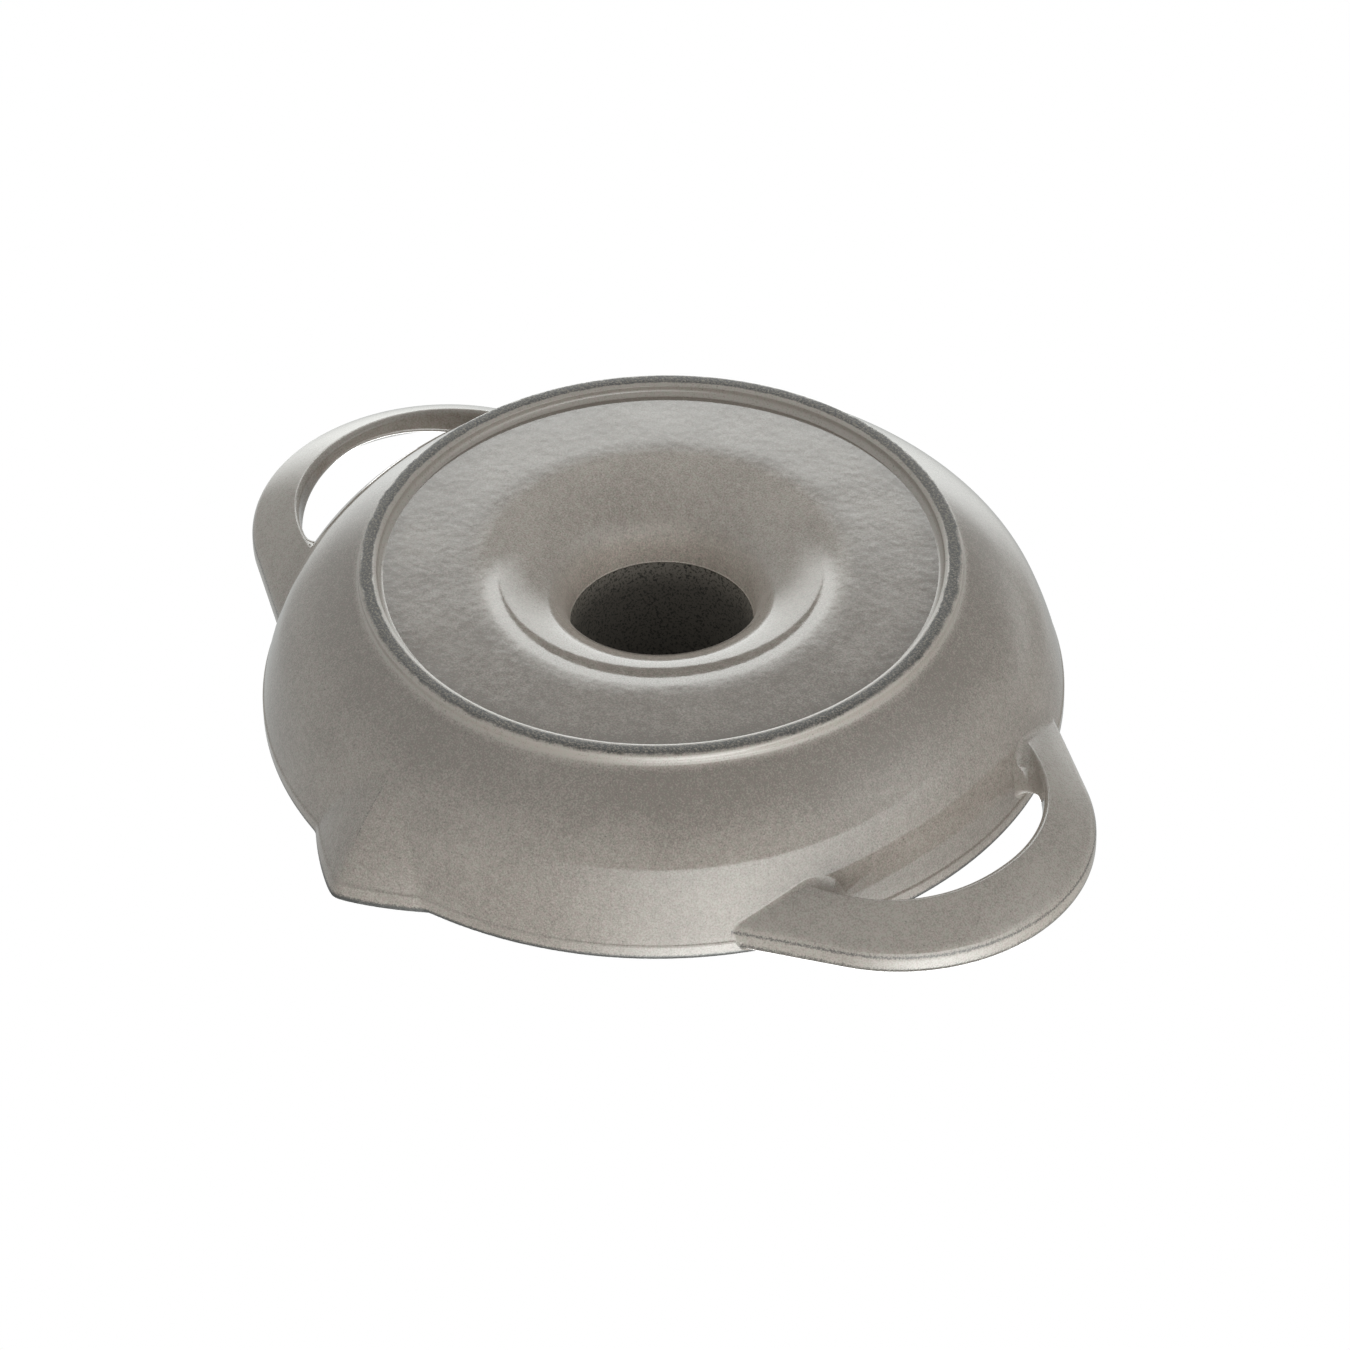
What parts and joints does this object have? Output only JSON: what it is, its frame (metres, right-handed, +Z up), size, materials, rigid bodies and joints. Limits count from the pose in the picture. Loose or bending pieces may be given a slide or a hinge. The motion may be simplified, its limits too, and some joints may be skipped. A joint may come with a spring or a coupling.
{
  "type": "cast iron roaster",
  "caption": "Round enamelled cast-iron roasting pan with a hollow upright centre cone, a pour spout in its rim, loop handles at its sides and a foot ring under its base.",
  "frame": {"origin": "middle of the outline in plan, at the height of the foot ring's flat crown; the pan's own axis stands at y = -6.28 mm", "axes": "+Z up along the pan's axis, X through both handles, +Y towards the pour spout"},
  "size_m": [0.3262, 0.2616, 0.135],
  "materials": {
    "grey_enamel": "gloss graphite-grey enamel",
    "rim_enamel": "gloss graphite-grey enamel with a thin dark edge",
    "bare_crown": "enamel with a rough dark crown where it stands",
    "cone_enamel": "gloss grey enamel on the flare under the base, dark ground coat in the hollow, matt black inside the pan"
  },
  "bodies": {
    "root": {"foot_ring": "bare_crown", "base_plate": "grey_enamel", "centre_cone": "cone_enamel", "bowl_wall": "grey_enamel", "rim_lip": "rim_enamel", "pour_spout": "grey_enamel", "handle_right": "grey_enamel", "handle_left": "grey_enamel"}
  },
  "joints": []
}
